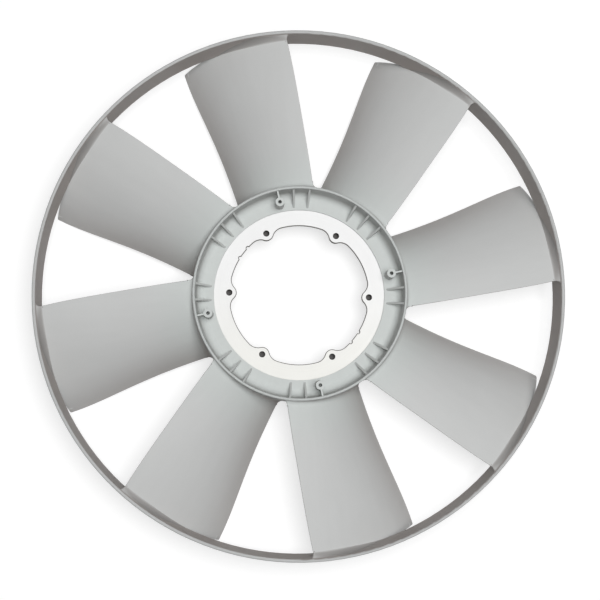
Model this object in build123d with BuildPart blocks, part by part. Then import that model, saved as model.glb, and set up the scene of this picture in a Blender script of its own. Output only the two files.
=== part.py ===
from build123d import *
from math import cos, radians, sin, tan
import os

# Ring fan wheel for an engine cooling system: one plastic moulding of hub, blades
# and outer ring, cast round a metal mounting plate. Millimetres, +Z towards the
# air inlet. The origin is on the axis, in the front face of the mounting plate.

# --- driving dimensions ---------------------------------------------------------
BLADES = 8
BLADE_PITCH = 360 / BLADES

RING_RADIUS = 375  # outside of the front lip
RING_LIP = 5  # wall thickness at the lip
RING_FRONT = 38
RING_WIDTH = 52
RING_DRAFT = 2  # how much the ring closes from front to back

HUB_RADIUS = 151  # outside of the rim at the front
HUB_FRONT = 42
HUB_BACK = -54
HUB_WALL = 3.5
HUB_DRAFT = 2.5
FLOOR_FRONT = 3
FLOOR_BACK = -8.5
FLOOR_BORE = 122  # radius where the plate comes out of the plastic
FLOOR_RADIUS = 145.5  # foot of the rim's inner wall

PLATE_THICKNESS = 5
PLATE_RADIUS = 138  # edge of the plate inside the plastic
SEAT_RADIUS = 121.5  # machined seat, raised over the buried edge
SEAT_STEP = 0.4
KEY_HOLES = 16  # holes in the buried edge that the plastic flows through
KEY_HOLE_RADIUS = 4
CUTOUT_RADIUS = 99.5
BOLTS = 6
BOLT_CIRCLE = 100  # radius
BOLT_HOLE_RADIUS = 4.5
BOLT_HOLE_DEPTH = 14
LUG_RADIUS = 10.5  # plate left round each bolt hole
LUG_BLEND = 16
CUTOUT_CHAMFER = 1
THREAD_BOSS_RADIUS = 9.5
THREAD_BOSS_BACK = -17
NICK_RADIUS = 2.2  # small reliefs beside the two locating pads of the cut-out
NICK_ANGLES = (139.5, 149.8)

GUSSET_PITCH = 8.9  # degrees between the gussets of one group
FRONT_GUSSETS = 5.4  # angle of the middle gusset under the first blade
BACK_GUSSETS = 27.4
GUSSET_ROOT = 4.6  # thickness on the pan floor, at the rim and at the foot
GUSSET_FOOT = 2.6
GUSSET_TAPER = 1.4
GUSSET_TOP = 39
GUSSET_FOOT_RADIUS = 125
BOSS_CIRCLE = 132
BOSS_RADIUS = 6.2
BOSS_DRAFT = 0.8
BOSS_TOP = 38
BOSS_HOLE_RADIUS = 2.6
BOSS_HOLE_DEPTH = 25
BOSS_WEB_THICKNESS = 2.2

RIM_ROUNDING = 1.2
LIP_ROUNDING = 2
FLOOR_FILLET = 4
TIP_CORNER = 7  # rounding of the free corner behind the ring
TIP_CORNER_ANGLE = 28.8
WALL_COVER = 0.5  # a blade's tip ends this far inside the ring's outer wall

# Blade stations from hub to tip. The radius is that of both edges, the angles and
# heights place the leading and the trailing edge, the last two numbers are the
# thickness in the middle and at the edges.
STATIONS = (
    (149, -5.4, 34, 36.3, -45.5, 6.0, 3.0),
    (205, -1.0, 38.5, 32.1, -48, 5.0, 2.6),
    (260, 1.7, 40, 30.4, -52, 4.5, 2.4),
    (315, 3.5, 37.5, 29.7, -58, 4.0, 2.2),
    (382, 5.4, 26, 28.5, -67.5, 3.6, 2.0),
)
BLADE_REACH = 110  # more than a blade rises or falls from the plate
CAMBER_TURN = 44  # degrees the air is turned along a blade section

hub_middle = HUB_RADIUS - HUB_WALL / 2
ring_middle = RING_RADIUS - RING_LIP
ring_back = RING_FRONT - RING_WIDTH
floor_middle = (FLOOR_FRONT + FLOOR_BACK) / 2
back_gusset_end = HUB_BACK + HUB_FRONT - GUSSET_TOP
tip_trim = RING_RADIUS - RING_DRAFT - WALL_COVER
nick_angles = [angle + turn for angle in NICK_ANGLES for turn in (0, 180)]
boss_angles = [FRONT_GUSSETS + GUSSET_PITCH + 2 * BLADE_PITCH * k for k in range(BLADES // 2)]
front_gusset_angles = [
    FRONT_GUSSETS + GUSSET_PITCH * place + BLADE_PITCH * k
    for k in range(BLADES)
    for place in (-1, 0, 1)
    if not (place == 1 and k % 2 == 0)
]
back_gusset_angles = [
    BACK_GUSSETS + GUSSET_PITCH * place + BLADE_PITCH * k
    for k in range(BLADES)
    for place in (-1, 0, 1)
]


def blade_section(radius, lead_angle, lead_z, trail_angle, trail_z, thickness, edge):
    """Sketch one blade section: two arcs with a round nose and a round tail."""
    half = radians(trail_angle - lead_angle) / 2
    middle = radians(trail_angle + lead_angle) / 2
    outward = Vector(cos(middle), sin(middle), 0)
    plane = Plane(
        origin=outward * radius * cos(half),
        x_dir=(-sin(middle), cos(middle), 0),
        z_dir=outward,
    )
    nose = Vector(-radius * sin(half), lead_z)
    tail = Vector(radius * sin(half), trail_z)
    along = (tail - nose).normalized()
    up = Vector(-along.Y, along.X)
    chord = (tail - nose).length
    centre = (nose + tail) / 2 + up * chord / 2 * tan(radians(CAMBER_TURN / 4))
    lead_up = up.rotate(Axis.Z, CAMBER_TURN / 2)
    trail_up = up.rotate(Axis.Z, -CAMBER_TURN / 2)
    front = nose + along.rotate(Axis.Z, CAMBER_TURN / 2) * edge / 2
    back = tail - along.rotate(Axis.Z, -CAMBER_TURN / 2) * edge / 2
    upper_front = front + lead_up * edge / 2
    upper_back = back + trail_up * edge / 2
    lower_front = front - lead_up * edge / 2
    lower_back = back - trail_up * edge / 2
    with BuildSketch(plane) as section:
        with BuildLine():
            ThreePointArc(upper_front, centre + up * thickness / 2, upper_back)
            ThreePointArc(upper_back, tail, lower_back)
            ThreePointArc(lower_back, centre - up * thickness / 2, lower_front)
            ThreePointArc(lower_front, nose, upper_front)
        make_face()
    return section


def gusset_plan(height):
    """Sketch a gusset's outline on the pan floor, wider at the rim than at its foot."""
    with BuildSketch(Plane.XY.offset(height)) as plan:
        Polygon(
            (GUSSET_FOOT_RADIUS, GUSSET_FOOT / 2),
            (GUSSET_FOOT_RADIUS, -GUSSET_FOOT / 2),
            (hub_middle, -GUSSET_ROOT / 2),
            (hub_middle, GUSSET_ROOT / 2),
            align=None,
        )
    return plan


# --- mounting plate: metal insert with the clutch seat and six tapped bosses --------
with BuildPart() as mounting_plate:
    with BuildSketch(Plane.XY.offset(-PLATE_THICKNESS)):
        Circle(PLATE_RADIUS)
        with PolarLocations((PLATE_RADIUS + FLOOR_BORE) / 2, KEY_HOLES):
            Circle(KEY_HOLE_RADIUS, mode=Mode.SUBTRACT)
    extrude(amount=PLATE_THICKNESS - SEAT_STEP)
    with BuildSketch(Plane.XY.offset(-SEAT_STEP)):
        Circle(SEAT_RADIUS)
    extrude(amount=SEAT_STEP)
    with BuildSketch(Plane.XY.offset(-PLATE_THICKNESS)) as cutout:
        Circle(CUTOUT_RADIUS)
        with PolarLocations(BOLT_CIRCLE, BOLTS):
            Circle(LUG_RADIUS, mode=Mode.SUBTRACT)
        fillet(cutout.vertices(), LUG_BLEND)
        for angle in nick_angles:
            with PolarLocations(CUTOUT_RADIUS, 1, angle):
                Circle(NICK_RADIUS)
    extrude(amount=PLATE_THICKNESS, mode=Mode.SUBTRACT)
    seat = mounting_plate.faces().sort_by(Axis.Z)[-1]
    chamfer(seat.inner_wires().edges(), CUTOUT_CHAMFER)
    with BuildSketch(Plane.XY.offset(-PLATE_THICKNESS)):
        with PolarLocations(BOLT_CIRCLE, BOLTS):
            Circle(THREAD_BOSS_RADIUS)
    extrude(amount=THREAD_BOSS_BACK + PLATE_THICKNESS)
    with Locations(Plane.XY):
        with PolarLocations(BOLT_CIRCLE, BOLTS):
            Hole(BOLT_HOLE_RADIUS, BOLT_HOLE_DEPTH)
mounting_plate.part.label = "mounting_plate"


# --- one blade, from inside the hub wall to inside the ring, its free corner rounded ---
with BuildPart() as blade:
    for station in STATIONS:
        add(blade_section(*station).sketch)
    loft()
    with BuildSketch(Plane.XY.offset(-BLADE_REACH)):
        Circle(tip_trim)
        Circle(hub_middle, mode=Mode.SUBTRACT)
    extrude(amount=2 * BLADE_REACH, mode=Mode.INTERSECT)
    with BuildSketch(Plane.XY.offset(-BLADE_REACH).rotated((0, 0, TIP_CORNER_ANGLE))):
        with Locations((tip_trim - TIP_CORNER, -TIP_CORNER)):
            Rectangle(2 * TIP_CORNER, 2 * TIP_CORNER, align=(Align.MIN, Align.MIN))
            Circle(TIP_CORNER, mode=Mode.SUBTRACT)
    extrude(amount=BLADE_REACH, mode=Mode.SUBTRACT)


# --- gussets: drafted triangular ribs between the pan floor and the rim --------------
with BuildPart() as front_gusset:
    add(gusset_plan(FLOOR_FRONT).sketch)
    extrude(amount=GUSSET_TOP - FLOOR_FRONT, taper=GUSSET_TAPER)
    with BuildSketch(Plane.XZ):
        Polygon(
            (GUSSET_FOOT_RADIUS, FLOOR_FRONT),
            (hub_middle, FLOOR_FRONT),
            (hub_middle, GUSSET_TOP),
            align=None,
        )
    extrude(amount=GUSSET_ROOT, both=True, mode=Mode.INTERSECT)

with BuildPart() as back_gusset:
    add(gusset_plan(FLOOR_BACK).sketch)
    extrude(amount=back_gusset_end - FLOOR_BACK, taper=GUSSET_TAPER)
    with BuildSketch(Plane.XZ):
        Polygon(
            (GUSSET_FOOT_RADIUS, FLOOR_BACK),
            (hub_middle, FLOOR_BACK),
            (hub_middle, back_gusset_end),
            align=None,
        )
    extrude(amount=GUSSET_ROOT, both=True, mode=Mode.INTERSECT)


# --- screw boss: hollow pillar on the pan floor, tied to the rim by a web ------------
with BuildPart() as screw_boss:
    with BuildSketch(Plane.XY.offset(floor_middle)):
        with Locations((BOSS_CIRCLE, 0)):
            Circle(BOSS_RADIUS + BOSS_DRAFT)
    with BuildSketch(Plane.XY.offset(BOSS_TOP)):
        with Locations((BOSS_CIRCLE, 0)):
            Circle(BOSS_RADIUS)
    loft()
    with BuildSketch(Plane.XY.offset(floor_middle)):
        with Locations((BOSS_CIRCLE, 0)):
            Rectangle(
                hub_middle - BOSS_CIRCLE, BOSS_WEB_THICKNESS, align=(Align.MIN, Align.CENTER)
            )
    extrude(amount=BOSS_TOP - floor_middle)
    with Locations((BOSS_CIRCLE, 0, BOSS_TOP)):
        Hole(BOSS_HOLE_RADIUS, BOSS_HOLE_DEPTH)


# --- fan moulding: hub pan, outer ring and blades, then gussets and screw bosses -------
with BuildPart() as fan_moulding:
    with BuildSketch(Plane.XZ) as pan:
        Polygon(
            (HUB_RADIUS, HUB_FRONT),
            (HUB_RADIUS + HUB_DRAFT, HUB_BACK),
            (HUB_RADIUS + HUB_DRAFT - HUB_WALL, HUB_BACK),
            (FLOOR_RADIUS, FLOOR_BACK),
            (FLOOR_BORE, FLOOR_BACK),
            (FLOOR_BORE, FLOOR_FRONT),
            (FLOOR_RADIUS, FLOOR_FRONT),
            (HUB_RADIUS - HUB_WALL, HUB_FRONT),
            align=None,
        )
        fillet(pan.vertices().group_by(Axis.Y)[-1], RIM_ROUNDING)
        fillet(pan.vertices().group_by(Axis.Y)[0], RIM_ROUNDING)
        fillet(pan.vertices().filter_by_position(Axis.X, FLOOR_RADIUS, FLOOR_RADIUS), FLOOR_FILLET)
    with BuildSketch(Plane.XZ) as ring:
        Polygon(
            (RING_RADIUS, RING_FRONT),
            (RING_RADIUS - RING_DRAFT, ring_back),
            (ring_middle - RING_DRAFT, ring_back),
            (ring_middle, RING_FRONT),
            align=None,
        )
        fillet(ring.vertices().group_by(Axis.Y)[-1], LIP_ROUNDING)
    revolve(axis=Axis.Z)
    with PolarLocations(0, BLADES):
        add(blade.part)
    with Locations(*[Location((0, 0, 0), (0, 0, angle)) for angle in front_gusset_angles]):
        add(front_gusset.part)
    with Locations(*[Location((0, 0, 0), (0, 0, angle)) for angle in back_gusset_angles]):
        add(back_gusset.part)
    with Locations(*[Location((0, 0, 0), (0, 0, angle)) for angle in boss_angles]):
        add(screw_boss.part)
    add(mounting_plate.part, mode=Mode.SUBTRACT)
fan_moulding.part.label = "fan_moulding"

os.makedirs("parts", exist_ok=True)
export_step(mounting_plate.part, "parts/mounting_plate.step")
export_step(fan_moulding.part, "parts/fan_moulding.step")
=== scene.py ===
import math
from typing import NamedTuple

import bpy
import numpy as np
from mathutils import Euler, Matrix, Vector


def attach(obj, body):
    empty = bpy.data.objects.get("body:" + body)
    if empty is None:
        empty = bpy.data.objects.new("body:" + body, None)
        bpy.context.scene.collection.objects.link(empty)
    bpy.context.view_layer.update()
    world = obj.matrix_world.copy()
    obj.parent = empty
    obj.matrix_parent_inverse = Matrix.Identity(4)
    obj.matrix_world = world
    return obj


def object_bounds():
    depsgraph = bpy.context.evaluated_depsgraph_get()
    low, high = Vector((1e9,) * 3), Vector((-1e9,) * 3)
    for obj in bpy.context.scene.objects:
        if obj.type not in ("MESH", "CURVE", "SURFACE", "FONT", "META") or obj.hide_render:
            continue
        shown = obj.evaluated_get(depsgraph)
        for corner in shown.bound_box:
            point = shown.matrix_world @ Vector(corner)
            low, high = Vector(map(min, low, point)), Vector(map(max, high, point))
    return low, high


# Ring fan wheel, lying on its back on a pale floor and seen from the front, into the hub's
# open pan. Lengths are in metres; height runs along the fan axis from the plate's front face.

# --- camera ------------------------------------------------------------------------------
CAMERA_PLACE = (-0.0608, -0.1402, 1.9770)
CAMERA_TURN = (3.7861, -1.9271, 1.8850)  # degrees
SENSOR = 36.0
LENS = 83.16

# --- light and floor ---------------------------------------------------------------------
KEY_PLACE = (0.24, 0.05, 2.7)
KEY_SIZE = 1.3
KEY_POWER = 60.0
WORLD_STRENGTH = 0.16
FLOOR_HALF = 40.0  # half its side

# --- colours (linear) --------------------------------------------------------------------
PLASTIC = (0.590, 0.597, 0.592)
PLASTIC_HUB = (0.585, 0.612, 0.600)
# painted shade: the darker, warmer colour of steep faces
PLASTIC_WARM_SHADE = (0.425, 0.385, 0.365)
# painted shade for the corner fillets where the blades meet the ring
PLASTIC_CORNER_SHADE = (0.330, 0.320, 0.312)
METAL = (0.80, 0.80, 0.80)
# painted reflection: the colour that the plate takes towards lower y
METAL_WARM = (0.77, 0.765, 0.73)
# painted shade inside the bolt holes
METAL_HOLE_SHADE = (0.060, 0.055, 0.052)
# painted shade for the plate's edges and other faces that don't face the front
METAL_EDGE_SHADE = (0.20, 0.19, 0.18)
FLOOR = (0.42, 0.42, 0.42)
WHITE = (1.0, 1.0, 1.0, 1.0)

# --- noises: scale, detail and roughness -------------------------------------------------
PLASTIC_CLOUDS = (9.0, 3.0, 0.55)
PLASTIC_SPECKS = (420.0, 2.0, 0.6)
PLASTIC_GRAIN = (1500.0, 3.0, 0.65)
PLASTIC_FLOW = (1.6, 3.0, 0.5)
METAL_RINGS = (1.0, 3.0, 0.6)
METAL_FINE = (1.0, 2.0, 0.6)
METAL_CLOUDS = (14.0, 3.0, 0.5)
FLOOR_CLOUDS = (2.0, 2.0, 0.5)
# The flow and the turned rings are stretched by radius, angle and, for the flow, height.
FLOW_STRETCH = (9.0, 14.0, 30.0)
RINGS_STRETCH = (900.0, 0.35)
FINE_STRETCH = (3600.0, 1.2)

# --- where a look begins and ends --------------------------------------------------------
HUB_TINT = (0.150, 0.235)  # radius
STEEP_SHADE = (0.30, 0.82)  # height component of the surface normal, either way; steeper faces get a painted warm shade
HUB_LESS_SHADE = (0.1500, 0.1560)  # radius; less of the painted warm shade within it
RING_NO_SHADE = (0.3712, 0.3722)  # radius; no painted warm shade beyond it
# where the corner fillets get their painted shade
CORNER_SHADE_RADIUS = (0.3595, 0.3640)
CORNER_SHADE_HEIGHT = (0.030, 0.036)
RING_LIP_RADIUS = (0.366, 0.371)
RING_LIP_HEIGHT = (0.0335, 0.037)
HUB_LIP_RADIUS = (0.1515, 0.153)
HUB_LIP_HEIGHT = (0.0395, 0.0415)
TURNED = (0.80, 0.97)  # height component of the surface normal
WARM_REFLECTION_SIDE = (0.05, -0.12)  # y; the painted warm reflection grows towards lower y
HOLE_MARGIN = (0.0001, 0.0002)  # beyond the bolt hole's radius
HOLE_DEPTH = (-0.0005, 0.0)  # height
FLOOR_DISTANCE = (0.8, 4.5)  # from the fan axis

# --- amounts: first the plain value, then the weight of each pattern ---------------------
STEEP_SHADE_AMOUNT = (0.65, 0.5)  # clouds
STEEP_SHADE_ON_HUB = (0.25, 0.75)  # outside the hub
CORNER_SHADE_AMOUNT = (0.8, 0.3)  # clouds
PLASTIC_TONE = (0.93, 0.07, -0.16, 0.05, 0.03)  # clouds, rubbed lips with painted shade, flow, specks
PLASTIC_ROUGHNESS = (0.54, 0.16, -0.12)  # specks, rubbed lips
PLASTIC_RELIEF = (0.0, 0.6, 0.5)  # grain, specks
METAL_TONE = (0.92, 0.06, 0.08)  # rings, clouds
METAL_ROUGHNESS = (0.50, 0.18, 0.25)  # fine rings, unturned faces
METAL_RELIEF = (0.0, 0.5, 0.5)  # rings, fine rings
FLOOR_TONE = (0.99, 0.02)  # clouds

# --- other amounts -----------------------------------------------------------------------
PLASTIC_SPECULAR = 0.25
PLASTIC_BUMP = (0.35, 0.00025)  # strength and distance
METAL_WARMTH = 0.9
METALLIC = 0.18
METAL_BUMP = (0.25, 0.0001)
FLOOR_ROUGHNESS = 0.9
FLOOR_GLOW = 0.66  # under the wheel; 1 far away
SECTORS_ADDED = 20  # to an angle, so that it is above 0 when its place in a sector is taken

# --- the part's own sizes ----------------------------------------------------------------
RING_FRONT = 0.038
RING_BACK = -0.014
RING_WALL = 0.370  # inner radius at the front
RING_DRAFT = 0.002
HUB_FRONT = 0.042
HUB_BACK = -0.054
HUB_WALL = 0.151  # outer radius at the front
HUB_DRAFT = 0.0025
HUB_THICKNESS = 0.0035
PAN_RADIUS = 0.1455  # foot of the rim's inner wall
PAN_FLOOR = 0.003
BOLTS = 6
BOLT_CIRCLE = 0.100
BOLT_HOLE = 0.0045

# --- added pieces ------------------------------------------------------------------------
MERGE_DIGITS = 6  # decimals to which merged vertices agree
OUTLINE_POINTS = 160
OUTLINE_CROWDING = 0.93  # from even spacing, 0, to points heaped at nose and tail, 1
FILLET_STEPS = 8
MEETING_ROUNDS = 3  # of approach to the line where blade and wall meet
LEVEL = 0.05  # height component of a normal that still counts as level
AHEAD_START = 0.15  # height component at which a fillet starts to widen in front
SIDE_SPAN = 0.5  # height component over which it changes its width, in front and behind
LEAST_SHARE = 0.01  # of its width that a fillet keeps where it has died out
LEAST_WIDTH = 0.00005
WIDTH_SMOOTHING = 4  # rounds
SINK = 0.0006  # depth of a piece's hidden edge below the surface
SKIRT = 0.0006  # how far a fillet runs on under the surface that it meets
SKIRT_DROP = 0.0002
PAN_FILLET = 0.011
PAN_SEGMENTS = 240
CORNER_NEAR = 0.364  # radii of the two outlines that a blade's corner is drawn out from
CORNER_FAR = 0.356
CORNER_SPREAD = 16  # outline points on each side of the tail
CORNER_GAP = 0.00006
CORNER_SECTIONS = (  # radius, and how far the tail is drawn back there
    (0.3640, 0.0), (0.3660, 0.0), (0.3680, 0.0), (0.3700, 0.0),
    (0.3710, 0.0002), (0.3716, 0.0006), (0.3720, 0.0012), (0.3722, 0.0020),
)
THREAD_PITCH = 0.0015
THREAD_TURNS = 8
THREAD_SEGMENTS = 40
THREAD_START = -0.0008  # height of its upper end
THREAD_RIDGE = 0.0003
THREAD_FLANK = 0.45  # half the ridge's foot, as a share of the pitch


class Meeting(NamedTuple):
    """A wall that all the blades run into, and the fillet round each blade there."""

    near: float  # radius of the blade outlines next to the wall
    far: float  # radius of a second set, which gives the direction of the blade's surface
    wall: float  # radius of the wall at height 0
    slope: float  # growth of that radius per unit of height
    inward: int  # -1 where the open side of the wall faces the axis, 1 where it faces away
    reach: float  # width of the fillet on the blade
    front: float  # width on the wall in front of the blade
    beside: float
    behind: float
    bevel: float  # between a hollow fillet, 0, and a flat bevel, 1
    fade: float  # height over which the fillet dies out towards the wall's back edge
    top: float  # the fillet stays between these heights
    bottom: float
    cut: float  # no fillet below this height


RING_SLOPE = RING_DRAFT / (RING_FRONT - RING_BACK)
HUB_SLOPE = -HUB_DRAFT / (HUB_FRONT - HUB_BACK)
TIPS = Meeting(
    near=0.366, far=0.358,
    wall=RING_WALL - RING_SLOPE * RING_FRONT, slope=RING_SLOPE, inward=-1,
    reach=0.0085, front=0.017, beside=0.0015, behind=0.004, bevel=0.30, fade=0.034,
    top=RING_FRONT - 0.0024, bottom=RING_BACK + 0.0003, cut=RING_BACK + 0.0006,
)
ROOTS = Meeting(
    near=0.156, far=0.164,
    wall=HUB_WALL - HUB_SLOPE * HUB_FRONT, slope=HUB_SLOPE, inward=1,
    reach=0.007, front=0.007, beside=0.006, behind=0.006, bevel=0.0, fade=0.007,
    top=HUB_FRONT - 0.0014, bottom=HUB_BACK + 0.0014, cut=HUB_BACK,
)

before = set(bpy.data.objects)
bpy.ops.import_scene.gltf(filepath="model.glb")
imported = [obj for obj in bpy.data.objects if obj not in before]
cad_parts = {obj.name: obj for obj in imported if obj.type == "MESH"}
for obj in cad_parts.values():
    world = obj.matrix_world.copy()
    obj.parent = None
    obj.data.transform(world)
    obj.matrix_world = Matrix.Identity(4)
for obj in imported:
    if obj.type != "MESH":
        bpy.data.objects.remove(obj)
cad_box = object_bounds()
low = cad_box[0]


# --- materials ---------------------------------------------------------------------------
class Tree:
    """One material's nodes.

    The vector called where is the surface's place in the object's own frame.
    """

    def __init__(self, name):
        self.material = bpy.data.materials.new(name)
        self.material.use_nodes = True
        self.tree = self.material.node_tree
        self.shader = self.tree.nodes["Principled BSDF"]
        self.output = self.tree.nodes["Material Output"]
        self.where = self.node("ShaderNodeTexCoord").outputs["Object"]

    def locate(self):
        """Splits the surface's place into y, height z, and radius and angle about the axis."""
        x, self.y, self.z = self.split(self.where)
        self.radius = self.hypotenuse(x, self.y)
        self.angle = self.math("ARCTAN2", self.y, x)

    def node(self, kind):
        return self.tree.nodes.new(kind)

    def link(self, source, target):
        self.tree.links.new(source, target)

    def feed(self, socket, value):
        if isinstance(value, bpy.types.NodeSocket):
            self.link(value, socket)
        else:
            socket.default_value = value

    def surface(self, name, value):
        self.feed(self.shader.inputs[name], value)

    def split(self, vector):
        node = self.node("ShaderNodeSeparateXYZ")
        self.link(vector, node.inputs[0])
        return node.outputs

    def math(self, operation, first, second=0.0):
        node = self.node("ShaderNodeMath")
        node.operation = operation
        self.feed(node.inputs[0], first)
        self.feed(node.inputs[1], second)
        return node.outputs[0]

    def product(self, first, *others):
        for other in others:
            first = self.math("MULTIPLY", first, other)
        return first

    def weighted(self, amounts, *values):
        """The first amount plus each value times its own amount."""
        total = amounts[0]
        for amount, value in zip(amounts[1:], values, strict=True):
            total = self.math("ADD", total, self.math("MULTIPLY", value, amount))
        return total

    def hypotenuse(self, first, second):
        squares = self.math("MULTIPLY", first, first), self.math("MULTIPLY", second, second)
        return self.math("SQRT", self.math("ADD", *squares))

    def invert(self, value):
        return self.math("SUBTRACT", 1.0, value)

    def step(self, value, start, end):
        """0 before start, 1 after end, smooth between them."""
        node = self.node("ShaderNodeMapRange")
        node.interpolation_type = "SMOOTHSTEP"
        self.feed(node.inputs["Value"], value)
        node.inputs["From Min"].default_value = start
        node.inputs["From Max"].default_value = end
        return node.outputs["Result"]

    def fall(self, value, start, end):
        """1 before start, 0 after end."""
        return self.invert(self.step(value, start, end))

    def stretched(self, scales):
        """Vector of radius, angle and height, each times its scale; 0 where none is given."""
        node = self.node("ShaderNodeCombineXYZ")
        for socket, value, scale in zip(node.inputs, (self.radius, self.angle, self.z), scales):
            self.feed(socket, self.math("MULTIPLY", value, scale))
        return node.outputs[0]

    def noise(self, vector, scale, detail, roughness):
        node = self.node("ShaderNodeTexNoise")
        self.feed(node.inputs["Vector"], vector)
        node.inputs["Scale"].default_value = scale
        node.inputs["Detail"].default_value = detail
        node.inputs["Roughness"].default_value = roughness
        return node.outputs["Fac"]

    def mix(self, factor, first, second):
        node = self.node("ShaderNodeMix")
        node.data_type = "RGBA"
        self.feed(node.inputs["Factor"], factor)
        for socket, value in ((node.inputs[6], first), (node.inputs[7], second)):
            self.feed(socket, (*value, 1.0) if isinstance(value, tuple) else value)
        return node.outputs[2]

    def shade(self, colour, factor):
        """The colour made lighter or darker by a factor near 1."""
        node = self.node("ShaderNodeVectorMath")
        node.operation = "SCALE"
        self.feed(node.inputs[0], colour)
        self.feed(node.inputs["Scale"], factor)
        return node.outputs[0]

    def facing(self):
        """Height component of the surface normal."""
        return self.split(self.node("ShaderNodeNewGeometry").outputs["Normal"])["Z"]

    def bump(self, height, strength, distance):
        node = self.node("ShaderNodeBump")
        node.inputs["Strength"].default_value = strength
        node.inputs["Distance"].default_value = distance
        self.link(height, node.inputs["Height"])
        self.surface("Normal", node.outputs[0])


def moulded_plastic(corner=False):
    """Pale plastic: fine grain, faint clouding, rubbed lips with painted shade, and a painted
    warm shade on steep faces.

    corner is for the fillets in the ring, painted darker by their place alone, as painted shade
    in the corner.
    """
    m = Tree("fan_plastic_corner_shade" if corner else "fan_plastic")
    m.locate()
    clouds = m.noise(m.where, *PLASTIC_CLOUDS)
    specks = m.noise(m.where, *PLASTIC_SPECKS)
    grain = m.noise(m.where, *PLASTIC_GRAIN)
    flow = m.noise(m.stretched(FLOW_STRETCH), *PLASTIC_FLOW)
    colour = m.mix(m.fall(m.radius, *HUB_TINT), PLASTIC, PLASTIC_HUB)
    # painted shade: steep faces turn darker and warmer, by a random share from the clouds
    steep_shade = m.product(
        m.fall(m.math("ABSOLUTE", m.facing()), *STEEP_SHADE),
        m.weighted(STEEP_SHADE_AMOUNT, clouds),
        m.fall(m.radius, *RING_NO_SHADE),
        m.weighted(STEEP_SHADE_ON_HUB, m.step(m.radius, *HUB_LESS_SHADE)),
    )
    colour = m.mix(steep_shade, colour, PLASTIC_WARM_SHADE)
    if corner:
        # painted shade in the corner between blade and ring
        corner_shade = m.product(
            m.step(m.radius, *CORNER_SHADE_RADIUS),
            m.fall(m.z, *CORNER_SHADE_HEIGHT),
            m.weighted(CORNER_SHADE_AMOUNT, clouds),
        )
        colour = m.mix(corner_shade, colour, PLASTIC_CORNER_SHADE)
    # rubbed lips: smoother from wear, and painted darker as the shade of a rounder lip
    worn_and_shaded = m.math(
        "MAXIMUM",
        m.product(m.step(m.radius, *RING_LIP_RADIUS), m.step(m.z, *RING_LIP_HEIGHT)),
        m.product(m.fall(m.radius, *HUB_LIP_RADIUS), m.step(m.z, *HUB_LIP_HEIGHT)),
    )
    tone = m.weighted(PLASTIC_TONE, clouds, worn_and_shaded, flow, specks)
    m.surface("Base Color", m.shade(colour, tone))
    m.surface("Roughness", m.weighted(PLASTIC_ROUGHNESS, specks, worn_and_shaded))
    m.surface("Specular IOR Level", PLASTIC_SPECULAR)
    m.bump(m.weighted(PLASTIC_RELIEF, grain, specks), *PLASTIC_BUMP)
    return m.material


def turned_metal():
    """Light metal, turned on its face: fine rings and a painted warm reflection towards one
    side; raw edges and bolt holes painted dark as shade.
    """
    m = Tree("plate_metal")
    m.locate()
    rings = m.noise(m.stretched(RINGS_STRETCH), *METAL_RINGS)
    fine = m.noise(m.stretched(FINE_STRETCH), *METAL_FINE)
    clouds = m.noise(m.where, *METAL_CLOUDS)
    # painted reflection: the metal turns warmer and a little darker towards lower y
    warm_reflection = m.product(m.step(m.y, *WARM_REFLECTION_SIDE), METAL_WARMTH)
    colour = m.shade(m.mix(warm_reflection, METAL, METAL_WARM), m.weighted(METAL_TONE, rings, clouds))
    turned = m.step(m.facing(), *TURNED)
    # painted shade: faces that don't face the front, the plate's edges, are painted dark
    colour = m.mix(turned, METAL_EDGE_SHADE, colour)
    sector = 2 * math.pi / BOLTS
    # The half puts each bolt in the middle of a sector.
    onward = m.math("ADD", m.angle, (SECTORS_ADDED + 0.5) * sector)
    from_bolt = m.math("SUBTRACT", m.math("MODULO", onward, sector), sector / 2)
    across = m.product(m.radius, m.math("SINE", from_bolt))
    along = m.math("SUBTRACT", m.product(m.radius, m.math("COSINE", from_bolt)), BOLT_CIRCLE)
    hole_edge = (BOLT_HOLE + margin for margin in HOLE_MARGIN)
    # painted shade: the inside of each bolt hole is painted near black
    shaded_hole = m.product(m.fall(m.hypotenuse(across, along), *hole_edge), m.fall(m.z, *HOLE_DEPTH))
    m.surface("Base Color", m.mix(shaded_hole, colour, METAL_HOLE_SHADE))
    m.surface("Metallic", m.product(turned, METALLIC, m.invert(shaded_hole)))
    m.surface("Roughness", m.weighted(METAL_ROUGHNESS, fine, m.invert(turned)))
    m.bump(m.weighted(METAL_RELIEF, rings, fine), *METAL_BUMP)
    return m.material


def floor_material():
    """Pale studio floor that glows, more so far away, for the camera and in reflections."""
    m = Tree("floor")
    tone = m.weighted(FLOOR_TONE, m.noise(m.where, *FLOOR_CLOUDS))
    m.surface("Base Color", m.shade(FLOOR, tone))
    m.surface("Roughness", FLOOR_ROUGHNESS)
    path = m.node("ShaderNodeLightPath")
    seen = m.math("MAXIMUM", path.outputs["Is Camera Ray"], path.outputs["Is Glossy Ray"])
    distance = m.node("ShaderNodeVectorMath")
    distance.operation = "LENGTH"
    m.link(m.where, distance.inputs[0])
    away = m.step(distance.outputs["Value"], *FLOOR_DISTANCE)
    glow = m.node("ShaderNodeEmission")
    bright = m.weighted((FLOOR_GLOW, 1 - FLOOR_GLOW), away)
    m.link(m.product(seen, bright), glow.inputs["Strength"])
    both = m.node("ShaderNodeAddShader")
    m.link(m.shader.outputs[0], both.inputs[0])
    m.link(glow.outputs[0], both.inputs[1])
    m.link(both.outputs[0], m.output.inputs["Surface"])
    return m.material


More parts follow.
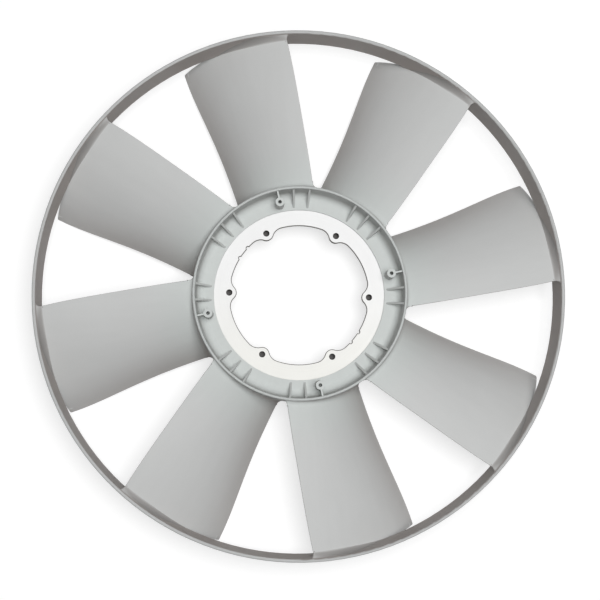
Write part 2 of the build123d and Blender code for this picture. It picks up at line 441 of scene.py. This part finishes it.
# --- blade outlines ----------------------------------------------------------------------
def moulding_mesh():
    """Places of the moulding's vertices, each once, and the corners of its triangles."""
    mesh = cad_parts["fan_moulding"].data
    mesh.calc_loop_triangles()
    places = np.empty(len(mesh.vertices) * 3)
    mesh.vertices.foreach_get("co", places)
    places = np.round(places.reshape(-1, 3), MERGE_DIGITS)
    corners = np.empty(len(mesh.loop_triangles) * 3, dtype=np.int64)
    mesh.loop_triangles.foreach_get("vertices", corners)
    places, same = np.unique(places, axis=0, return_inverse=True)
    return places, same.reshape(-1)[corners.reshape(-1, 3)]


def crossed_edges(corners, outside):
    """Edges with one end outside, each with the edges that it shares a triangle with."""
    count = outside[corners].sum(axis=1)
    crossed = {}
    for triangle in corners[(count > 0) & (count < 3)]:
        ends = []
        for a, b in ((0, 1), (1, 2), (2, 0)):
            p, q = int(triangle[a]), int(triangle[b])
            if outside[p] != outside[q]:
                ends.append((min(p, q), max(p, q)))
        crossed.setdefault(ends[0], []).append(ends[1])
        crossed.setdefault(ends[1], []).append(ends[0])
    return crossed


def chains(crossed):
    """The crossed edges in order, one chain for each closed outline."""
    unused = set(crossed)
    for start in sorted(crossed):
        if start not in unused:
            continue
        chain = []
        onward = [start]
        while onward:
            chain.append(onward[0])
            unused.discard(onward[0])
            onward = [edge for edge in crossed[chain[-1]] if edge in unused]
        yield chain


def blade_outlines(radius):
    """Closed outlines of the eight blades where a cylinder about the axis cuts them."""
    places, corners = moulding_mesh()
    reach = axis_distance(places)
    outlines = []
    for chain in chains(crossed_edges(corners, reach > radius)):
        points = []
        for p, q in chain:
            share = (radius - reach[p]) / (reach[q] - reach[p])
            points.append(places[p] + share * (places[q] - places[p]))
        outlines.append(np.array(points))
    return outlines


def even_outline(points):
    """The blade's angle, and its outline from the highest point on, always the same way round.

    The points are crowded at nose and tail.
    """
    middle = points.mean(axis=0)
    turn = math.atan2(middle[1], middle[0])
    angle = np.arctan2(points[:, 1], points[:, 0]) - turn
    angle = (angle + math.pi) % (2 * math.pi) - math.pi
    flat = np.stack([angle * axis_distance(points), points[:, 2]], axis=1)
    after = np.roll(flat, -1, axis=0)
    if (flat[:, 0] * after[:, 1] - after[:, 0] * flat[:, 1]).sum() < 0:
        points = points[::-1]
    points = np.roll(points, -int(points[:, 2].argmax()), axis=0)
    closed = np.vstack([points, points[:1]])
    steps = np.linalg.norm(np.diff(closed, axis=0), axis=1)
    length = np.concatenate([[0], np.cumsum(steps)])
    even = np.arange(OUTLINE_POINTS) / OUTLINE_POINTS
    wanted = even - OUTLINE_CROWDING * np.sin(4 * math.pi * even) / (4 * math.pi)
    wanted = wanted * length[-1]
    columns = [np.interp(wanted, length, closed[:, axis]) for axis in range(3)]
    return turn, np.stack(columns, axis=1)


def outline_pairs(near, far):
    """Each blade's outlines on two cylinders, blade after blade round the wheel."""
    def in_turn(radius):
        outlines = (even_outline(points) for points in blade_outlines(radius))
        return [points for _, points in sorted(outlines, key=lambda pair: pair[0])]

    return zip(in_turn(near), in_turn(far))


# --- vectors, one a row ------------------------------------------------------------------
def axis_distance(points):
    return np.hypot(points[:, 0], points[:, 1])


def unit(vectors):
    return vectors / np.linalg.norm(vectors, axis=1, keepdims=True)


def dot(first, second):
    return (first * second).sum(axis=1, keepdims=True)


def neighbour_span(line):
    """From the point before to the point after, round a closed line."""
    return np.roll(line, -1, axis=0) - np.roll(line, 1, axis=0)


def smoothed(values, rounds):
    for _ in range(rounds):
        values = (np.roll(values, 1, axis=0) + 2 * values + np.roll(values, -1, axis=0)) / 4
    return values


# --- meshes ------------------------------------------------------------------------------
def piece(name, points, faces, material, smooth=True):
    """New mesh object that belongs to the wheel."""
    mesh = bpy.data.meshes.new(name)
    mesh.from_pydata([tuple(map(float, point)) for point in points], [], faces)
    mesh.validate()
    mesh.update()
    if smooth:
        mesh.shade_smooth()
    mesh.materials.append(material)
    thing = bpy.data.objects.new(name, mesh)
    bpy.context.scene.collection.objects.link(thing)
    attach(thing, "root")


def strip_faces(rows, columns, start, closed):
    """Quads of a tube of sections; an open tube gets a cap at each end."""
    faces = []
    for row in range(rows if closed else rows - 1):
        onward = (row + 1) % rows
        for column in range(columns):
            beside = (column + 1) % columns
            faces.append((
                start + row * columns + column,
                start + row * columns + beside,
                start + onward * columns + beside,
                start + onward * columns + column,
            ))
    if not closed:
        faces.append(tuple(start + column for column in reversed(range(columns))))
        faces.append(tuple(start + (rows - 1) * columns + column for column in range(columns)))
    return faces


def meeting_line(near, far, meeting):
    """Where a blade's surface meets the wall, and that surface's run per unit of radius."""
    rate = (near - far) / (axis_distance(near) - axis_distance(far))[:, None]
    line = near
    for _ in range(MEETING_ROUNDS):
        wall = meeting.wall + meeting.slope * line[:, 2]
        line = near + rate * (wall - axis_distance(near))[:, None]
    return line, rate


def blade_sides(line, rate):
    """The blade's outward normals along the line."""
    span = neighbour_span(line)
    sides = unit(np.cross(smoothed(unit(span), 1), rate))
    lengths = np.linalg.norm(span, axis=1)
    if ((sides * (line - line.mean(axis=0))).sum(axis=1) * lengths).sum() < 0:
        sides = -sides
    return unit(smoothed(sides, 2))


def wall_sides(line, meeting):
    """The wall's normals along the line, towards its open side."""
    sides = unit(line * (1.0, 1.0, 0.0)) * meeting.inward
    sides[:, 2] = -meeting.slope * meeting.inward
    return unit(sides)


def fillet_widths(height, rise, meeting):
    """Widths of the fillet on the wall and on the blade, at each point of the line.

    rise is the height component of the blade's normal: above 0 in front of the blade.
    """
    ahead = np.clip((rise - AHEAD_START) / SIDE_SPAN, 0, 1)
    back = np.clip(-rise / SIDE_SPAN, 0, 1)
    in_front = (meeting.front - meeting.beside) * ahead
    tall = meeting.beside + in_front + (meeting.behind - meeting.beside) * back
    narrowed = meeting.behind + (meeting.reach - meeting.behind) * (1 - back)
    wide = np.where(rise > -LEVEL, meeting.reach, narrowed)
    above = (meeting.top - height) / np.maximum(rise, LEVEL)
    below = (height - meeting.bottom) / np.maximum(-rise, LEVEL)
    room = np.minimum(
        np.where(rise > LEVEL, above, meeting.front),
        np.where(rise < -LEVEL, below, meeting.front),
    )
    left = np.clip((height - meeting.bottom) / meeting.fade, LEAST_SHARE, 1)
    tall = np.clip(np.minimum(room, tall * left), LEAST_WIDTH, None)
    tall = np.minimum(tall, smoothed(tall, WIDTH_SMOOTHING))
    return tall[:, None], smoothed(wide * left, WIDTH_SMOOTHING)[:, None]


def blade_fillet(near, far, meeting):
    """The line where one blade meets the wall, and sections of a fillet all round it."""
    line, rate = meeting_line(near, far, meeting)
    blade_side = blade_sides(line, rate)
    wall_side = wall_sides(line, meeting)
    tall, wide = fillet_widths(line[:, 2], blade_side[:, 2], meeting)
    lean = dot(wall_side, blade_side)
    along_blade = unit(wall_side - lean * blade_side)
    along_wall = unit(blade_side - lean * wall_side)
    hollow = 1 - meeting.bevel
    rows = [line + (wide + 2 * SKIRT) * along_blade - SKIRT_DROP * blade_side]
    for step in range(FILLET_STEPS + 1):
        share = step / FILLET_STEPS
        turn = share * math.pi / 2
        out = hollow * (1 - math.sin(turn)) + meeting.bevel * (1 - share)
        up = hollow * (1 - math.cos(turn)) + meeting.bevel * share
        rows.append(line + wide * out * along_blade + tall * up * along_wall)
    rows.append(line + (tall + SKIRT) * along_wall - SKIRT_DROP * wall_side)
    rows.append(line - SINK * (blade_side + wall_side))
    return line, np.stack(rows, axis=1)


def fillets(name, meeting, material):
    """The fillets of all blades at one wall, as one mesh."""
    points, faces = [], []
    for near, far in outline_pairs(meeting.near, meeting.far):
        line, sections = blade_fillet(near, far, meeting)
        kept = line[:, 2] > meeting.cut
        closed = bool(kept.all())
        if not closed:
            first = int(np.argmin(kept))
            order = [(first + k) % len(kept) for k in range(len(kept))]
            sections = sections[[k for k in order if kept[k]]]
        start = len(points)
        points.extend(sections.reshape(-1, 3))
        faces.extend(strip_faces(sections.shape[0], sections.shape[1], start, closed))
    piece(name, points, faces, material)


def pan_fillet(material):
    """Hollow fillet all round the hub pan, between its floor and the inside of the rim."""
    corner = np.array([PAN_RADIUS, PAN_FLOOR])
    floor_side = np.array([0.0, 1.0])
    wall = np.array([HUB_WALL - HUB_THICKNESS - PAN_RADIUS, HUB_FRONT - PAN_FLOOR])
    wall_side = np.array([-wall[1], wall[0]]) / np.linalg.norm(wall)
    centre = corner + PAN_FILLET * (floor_side + wall_side) / (1 + floor_side @ wall_side)
    foot = np.array([centre[0], PAN_FLOOR])
    profile = [foot - np.array([2 * SKIRT, SKIRT_DROP])]
    for step in range(FILLET_STEPS + 1):
        turn = step / FILLET_STEPS * math.pi / 2
        ray = math.cos(turn) * floor_side + math.sin(turn) * wall_side
        profile.append(centre - PAN_FILLET * ray / np.linalg.norm(ray))
    profile.append(profile[-1] + SKIRT * wall / np.linalg.norm(wall) - SKIRT_DROP * wall_side)
    profile.append(corner - SINK * (floor_side + wall_side))
    points = []
    for row in range(PAN_SEGMENTS):
        turn = 2 * math.pi * row / PAN_SEGMENTS
        for radius, height in profile:
            points.append((radius * math.cos(turn), radius * math.sin(turn), height))
    faces = strip_faces(PAN_SEGMENTS, len(profile), 0, True)
    piece("pan_fillet", points, faces, material)


def blade_corners(material):
    """The last few millimetres of each blade's free corner, where the solid's is rounder."""
    middle = OUTLINE_POINTS // 2
    tail = slice(middle - CORNER_SPREAD, middle + CORNER_SPREAD + 1)
    points, faces = [], []
    for near, far in outline_pairs(CORNER_NEAR, CORNER_FAR):
        rate = (near - far) / (CORNER_NEAR - CORNER_FAR)
        side = unit(np.cross(unit(neighbour_span(near)), rate))
        if (side * (near - near.mean(axis=0)))[tail].sum() < 0:
            side = -side
        near, rate, side = near[tail], rate[tail], side[tail]
        back = (near[0] + near[-1]) / 2 - near[CORNER_SPREAD]
        back = back / np.linalg.norm(back)
        start = len(points)
        for radius, retreat in CORNER_SECTIONS:
            section = near + rate * (radius - CORNER_NEAR) - CORNER_GAP * side + retreat * back
            section[:, :2] *= (radius / axis_distance(section))[:, None]
            section[:, 2] = np.maximum(section[:, 2], low.z + CORNER_GAP)
            points.extend(section)
        columns = 2 * CORNER_SPREAD + 1
        faces.extend(strip_faces(len(CORNER_SECTIONS), columns, start, False))
    piece("blade_corners", points, faces, material)


def bolt_threads(material):
    """Ridge of the screw thread in each bolt hole."""
    points, faces = [], []
    rows = THREAD_TURNS * THREAD_SEGMENTS + 1
    for bolt in range(BOLTS):
        turn = 2 * math.pi * bolt / BOLTS
        middle = (BOLT_CIRCLE * math.cos(turn), BOLT_CIRCLE * math.sin(turn))
        start = len(points)
        for row in range(rows):
            angle = 2 * math.pi * row / THREAD_SEGMENTS
            height = THREAD_START - THREAD_PITCH * row / THREAD_SEGMENTS
            fade = min(1.0, row / THREAD_SEGMENTS, (rows - 1 - row) / THREAD_SEGMENTS)
            ridge = (-THREAD_RIDGE * fade, 0.0)
            for out, drop in ((SINK / 2, -THREAD_FLANK), ridge, (SINK / 2, THREAD_FLANK)):
                reach = BOLT_HOLE + out
                points.append((
                    middle[0] + reach * math.cos(angle),
                    middle[1] + reach * math.sin(angle),
                    height + drop * THREAD_PITCH,
                ))
        faces.extend(strip_faces(rows, 3, start, False))
    piece("bolt_threads", points, faces, material, smooth=False)


def dress(node, material):
    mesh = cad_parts[node].data
    mesh.materials.clear()
    mesh.materials.append(material)


# --- studio ------------------------------------------------------------------------------
def floor():
    half = FLOOR_HALF
    mesh = bpy.data.meshes.new("floor")
    corners = [(-half, -half, 0), (half, -half, 0), (half, half, 0), (-half, half, 0)]
    mesh.from_pydata(corners, [], [(0, 1, 2, 3)])
    ground = bpy.data.objects.new("floor", mesh)
    ground.location = (0, 0, low.z)
    bpy.context.scene.collection.objects.link(ground)
    mesh.materials.append(floor_material())


def camera():
    data = bpy.data.cameras.new("camera")
    data.sensor_width = SENSOR
    data.lens = LENS
    eye = bpy.data.objects.new("camera", data)
    eye.location = CAMERA_PLACE
    eye.rotation_euler = Euler([math.radians(turn) for turn in CAMERA_TURN])
    bpy.context.scene.collection.objects.link(eye)
    bpy.context.scene.camera = eye


def key_light():
    data = bpy.data.lights.new("key", "AREA")
    data.shape = "DISK"
    data.size = KEY_SIZE
    data.energy = KEY_POWER
    lamp = bpy.data.objects.new("key", data)
    lamp.location = KEY_PLACE
    lamp.rotation_euler = (-Vector(KEY_PLACE)).to_track_quat("-Z", "Y").to_euler()
    bpy.context.scene.collection.objects.link(lamp)


def surroundings():
    """White for the camera, and a dim even light for the wheel."""
    world = bpy.data.worlds.new("studio")
    bpy.context.scene.world = world
    world.use_nodes = True
    nodes, links = world.node_tree.nodes, world.node_tree.links
    back = nodes["Background"]
    back.inputs["Color"].default_value = WHITE
    path = nodes.new("ShaderNodeLightPath")
    seen = nodes.new("ShaderNodeMath")
    seen.operation = "MAXIMUM"
    links.new(path.outputs["Is Camera Ray"], seen.inputs[0])
    seen.inputs[1].default_value = WORLD_STRENGTH
    links.new(seen.outputs[0], back.inputs["Strength"])


plastic = moulded_plastic()
metal = turned_metal()
dress("fan_moulding", plastic)
dress("mounting_plate", metal)
fillets("tip_fillets", TIPS, moulded_plastic(corner=True))
fillets("root_fillets", ROOTS, plastic)
pan_fillet(plastic)
blade_corners(plastic)
bolt_threads(metal)
floor()
camera()
key_light()
surroundings()
bpy.context.scene.view_settings.view_transform = "Standard"
